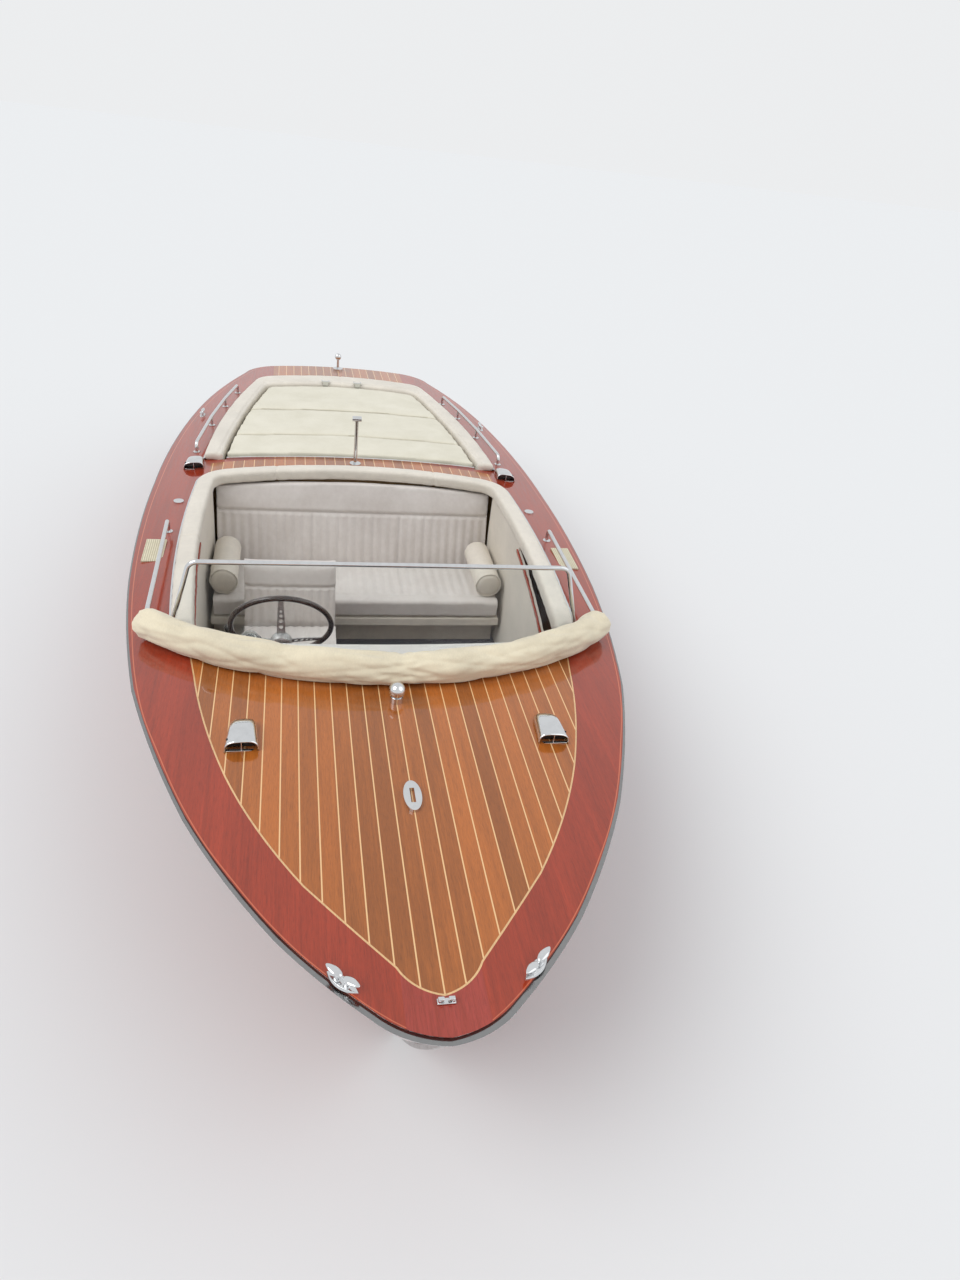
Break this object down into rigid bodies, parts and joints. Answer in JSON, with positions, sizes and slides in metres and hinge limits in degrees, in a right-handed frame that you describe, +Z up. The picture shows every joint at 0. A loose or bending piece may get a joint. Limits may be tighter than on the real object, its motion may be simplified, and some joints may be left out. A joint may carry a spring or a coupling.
{
  "type": "speedboat",
  "caption": "Classic varnished wooden runabout with an inlaid planked foredeck, cream upholstered cockpit, wrap-around windshield, rolled canvas hood and a cushioned engine hatch",
  "frame": {"origin": "on the centreline amidships at the waterline", "axes": "+X towards the bow, +Y to port, +Z up"},
  "size_m": [5.7788, 2.069, 1.719],
  "materials": {
    "mahogany_hull": "high gloss varnish over red mahogany",
    "mahogany_deck": "high gloss varnish over red mahogany",
    "mahogany_bow": "high gloss varnish over red mahogany",
    "golden_planks": "high gloss varnish over golden planks with pale seams",
    "maple_inlay": "varnished pale inlay",
    "plywood": "satin varnish",
    "bottom_paint": "matt bottom paint",
    "chrome_fittings": "polished chrome",
    "cream_vinyl": "smooth cream upholstery",
    "white_vinyl": "pleated off white upholstery",
    "cream_cushion": "soft cream cushion cover",
    "beige_canvas": "woven canvas",
    "grey_carpet": "short pile carpet",
    "dark_rim": "dark polished rim",
    "black_plastic": "black moulded",
    "bronze": "cast bronze",
    "stainless": "brushed stainless",
    "engine_iron": "painted castings",
    "clear_screen": "clear curved screen",
    "ivory_rubber": "ribbed ivory rubber"
  },
  "bodies": {
    "hull": {"hull_topsides": "mahogany_hull", "transom": "mahogany_hull", "hull_bottom": "bottom_paint", "stem_band": "chrome_fittings", "spray_rails": "mahogany_hull", "rub_rail": "chrome_fittings", "covering_boards": "mahogany_deck", "bow_deck_piece": "mahogany_bow", "foredeck_planking": "golden_planks", "midship_band": "golden_planks", "aft_deck": "golden_planks", "margin_inlay": "maple_inlay", "cockpit_coaming": "cream_vinyl", "sunpad_coaming": "cream_vinyl", "coaming_trim": "chrome_fittings", "dash_top": "white_vinyl", "hatch_frame": "plywood", "hatch_hinge_pins": "chrome_fittings", "cockpit_sole": "grey_carpet", "bulkheads": "plywood", "side_panels": "cream_vinyl", "bench_base": "cream_vinyl", "bench_cushion": "white_vinyl", "bench_backrest": "white_vinyl", "armrests": "cream_vinyl", "helm_seat_base": "cream_vinyl", "helm_seat_cushion": "white_vinyl", "helm_seat_back": "white_vinyl", "steering_column": "black_plastic", "dash_panel": "mahogany_deck", "compass": "black_plastic", "throttle": "black_plastic", "stern_brackets": "bronze", "engine_block": "engine_iron", "engine_bearers": "plywood", "windshield_glass": "clear_screen", "windshield_frame": "chrome_fittings", "canvas_roll": "beige_canvas", "vent_cowls": "chrome_fittings", "cleats": "chrome_fittings", "deck_light": "chrome_fittings", "foredeck_fitting": "chrome_fittings", "bow_chock": "chrome_fittings", "step_pads": "ivory_rubber", "deck_caps": "chrome_fittings", "light_mast": "chrome_fittings", "stern_fitting": "chrome_fittings", "grab_rails": "chrome_fittings", "exhaust_pipes": "stainless"},
    "propeller_group": {"propeller": "bronze", "propeller_shaft": "stainless"},
    "rudder_group": {"rudder": "bronze"},
    "wheel_group": {"wheel_rim": "dark_rim", "wheel_hub": "chrome_fittings"},
    "hatch_group": {"hatch_lid": "plywood", "sunpad_cushion_front": "cream_cushion", "sunpad_cushion_middle": "cream_cushion", "sunpad_cushion_aft": "cream_cushion", "hatch_hinge_straps": "chrome_fittings"}
  },
  "joints": [
    {"name": "propeller_spin", "type": "hinge", "parent": "hull", "child": "propeller_group", "pos_m": [-2.3, 0, -0.44], "axis": [0.9781, 0, 0.2079], "continuous": true},
    {"name": "wheel_turn", "type": "hinge", "parent": "hull", "child": "wheel_group", "pos_m": [1.00025, -0.385, 0.71757], "axis": [-0.9063, 0, 0.4226], "range_deg": [-540, 540]},
    {"name": "rudder_turn", "type": "hinge", "parent": "hull", "child": "rudder_group", "pos_m": [-2.56, 0, -0.4], "axis": [0, 0, 1], "range_deg": [-35, 35]},
    {"name": "hatch_open", "type": "hinge", "parent": "hull", "child": "hatch_group", "pos_m": [-2.237, 0, 0.73027], "axis": [0, -1, 0], "range_deg": [0, 60]}
  ],
  "couplings": [
    {"joint": "rudder_turn", "follows": "wheel_turn", "ratio": -0.0648}
  ]
}
